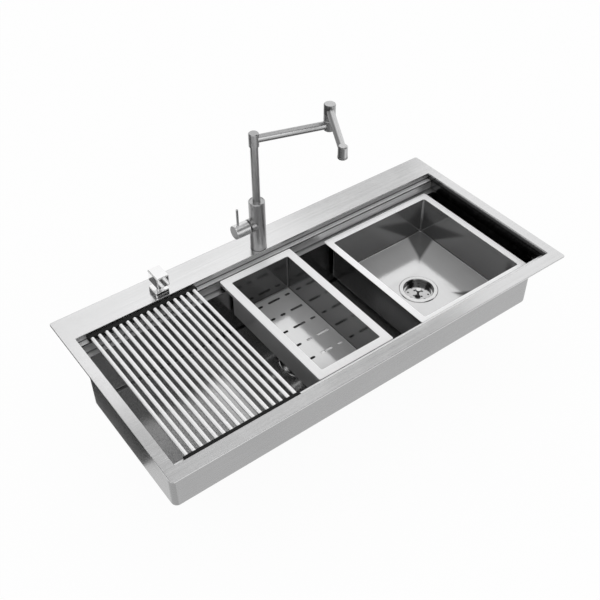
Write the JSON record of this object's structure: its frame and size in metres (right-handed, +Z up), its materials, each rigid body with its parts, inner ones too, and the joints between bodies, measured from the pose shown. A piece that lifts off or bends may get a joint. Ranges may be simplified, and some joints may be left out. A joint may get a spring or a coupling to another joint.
{
  "type": "double bowl sink with drainboard",
  "caption": "Steel workstation sink: one long ledged basin with a sliding drying rack, colander and lift-out bowl, a folding-spout tap and a soap pump on its rear deck.",
  "frame": {"origin": "middle of the rim's outline on the worktop plane, which is the underside of the rim's seal", "axes": "+X along the sink to the right as seen by the user, +Y to the rear tap deck, +Z up"},
  "size_m": [1.05, 0.51, 0.644],
  "materials": {
    "sink_steel": "long fine brushing along the sink",
    "insert_steel": "fine satin brushing",
    "bar_steel": "bright drawn tube",
    "rail_black": "moulded black",
    "tap_steel": "satin, brushed round the tubes",
    "polished_steel": "polished",
    "pump_chrome": "mirror plated",
    "black_rubber": "matt",
    "zinc_steel": "bright zinc plating",
    "brass": "turned",
    "white_plastic": "moulded white"
  },
  "bodies": {
    "sink": {"rim_deck": "sink_steel", "rim_seal": "black_rubber", "front_ledge": "sink_steel", "rear_ledge": "sink_steel", "end_panels": "sink_steel", "basin_tub": "sink_steel", "sound_pads": "black_rubber", "clip_channels": "zinc_steel", "rim_clips": "zinc_steel", "clip_clamps": "zinc_steel", "main_drain_cup": "polished_steel", "main_drain_gasket": "black_rubber", "main_drain_nut": "zinc_steel", "drain_tailpiece": "white_plastic", "drain_slip_nut": "white_plastic", "tap_base_ring": "tap_steel", "tap_body": "tap_steel", "tap_shank": "brass", "tap_cartridge": "white_plastic", "tap_bonnet": "tap_steel", "spout_gland": "tap_steel", "spout_bush": "white_plastic", "soap_collar": "pump_chrome", "soap_shank": "white_plastic", "soap_bottle": "white_plastic", "deck_gaskets": "black_rubber", "deck_washers": "black_rubber", "deck_nuts": "brass"},
    "rack": {"rack_bars": "bar_steel", "rack_rails": "rail_black"},
    "colander": {"colander_rim": "insert_steel", "colander_tray": "insert_steel"},
    "bowl": {"bowl_shell": "insert_steel", "bowl_drain_cup": "polished_steel", "bowl_drain_gasket": "black_rubber", "bowl_drain_nut": "zinc_steel"},
    "main_strainer": {"main_strainer_basket": "polished_steel", "main_strainer_knob": "polished_steel"},
    "bowl_strainer": {"bowl_strainer_basket": "polished_steel", "bowl_strainer_knob": "polished_steel"},
    "spout": {"spout_post": "tap_steel", "spout_o_rings": "black_rubber", "spout_collar": "tap_steel", "spout_arm_one": "tap_steel", "knuckle_socket": "tap_steel", "knuckle_washer": "white_plastic", "knuckle_spindle": "brass"},
    "spout_end": {"knuckle_head": "tap_steel", "knuckle_cap": "tap_steel", "spout_arm_two": "tap_steel", "spout_nozzle": "tap_steel", "aerator_shell": "tap_steel", "aerator_screen": "white_plastic"},
    "spindle": {"cartridge_spindle": "brass"},
    "handle": {"handle_stem": "brass", "handle_hub": "tap_steel", "handle_lever": "tap_steel"},
    "soap_pump": {"soap_stem": "pump_chrome", "soap_head": "pump_chrome"}
  },
  "joints": [
    {"name": "rack_slide", "type": "slide", "parent": "sink", "child": "rack", "axis": [1, 0, 0], "range_m": [-0.022, 0.7]},
    {"name": "colander_slide", "type": "slide", "parent": "sink", "child": "colander", "axis": [1, 0, 0], "range_m": [-0.34, 0.047]},
    {"name": "bowl_slide", "type": "slide", "parent": "sink", "child": "bowl", "axis": [1, 0, 0], "range_m": [-0.047, 0.027]},
    {"name": "main_strainer_lift", "type": "slide", "parent": "sink", "child": "main_strainer", "axis": [0, 0, 1], "range_m": [0, 0.045]},
    {"name": "bowl_strainer_lift", "type": "slide", "parent": "bowl", "child": "bowl_strainer", "axis": [0, 0, 1], "range_m": [0, 0.06]},
    {"name": "spout_swivel", "type": "hinge", "parent": "sink", "child": "spout", "pos_m": [-0.0205, 0.2, 0.136], "axis": [0, 0, 1], "range_deg": [-150, 150]},
    {"name": "spout_fold", "type": "hinge", "parent": "spout", "child": "spout_end", "pos_m": [0.14351, 0.14986, 0.3093], "axis": [0, 0, 1], "range_deg": [-60, 240]},
    {"name": "handle_turn", "type": "hinge", "parent": "sink", "child": "spindle", "pos_m": [-0.0545, 0.2, 0.075], "axis": [1, 0, 0], "range_deg": [-45, 45]},
    {"name": "handle_tilt", "type": "hinge", "parent": "spindle", "child": "handle", "pos_m": [-0.0545, 0.2, 0.075], "axis": [0, -1, 0], "range_deg": [0, 14]},
    {"name": "soap_press", "type": "slide", "parent": "sink", "child": "soap_pump", "axis": [0, 0, -1], "range_m": [0, 0.012], "stiffness_N_per_m": 500, "springref_m": -0.014}
  ]
}
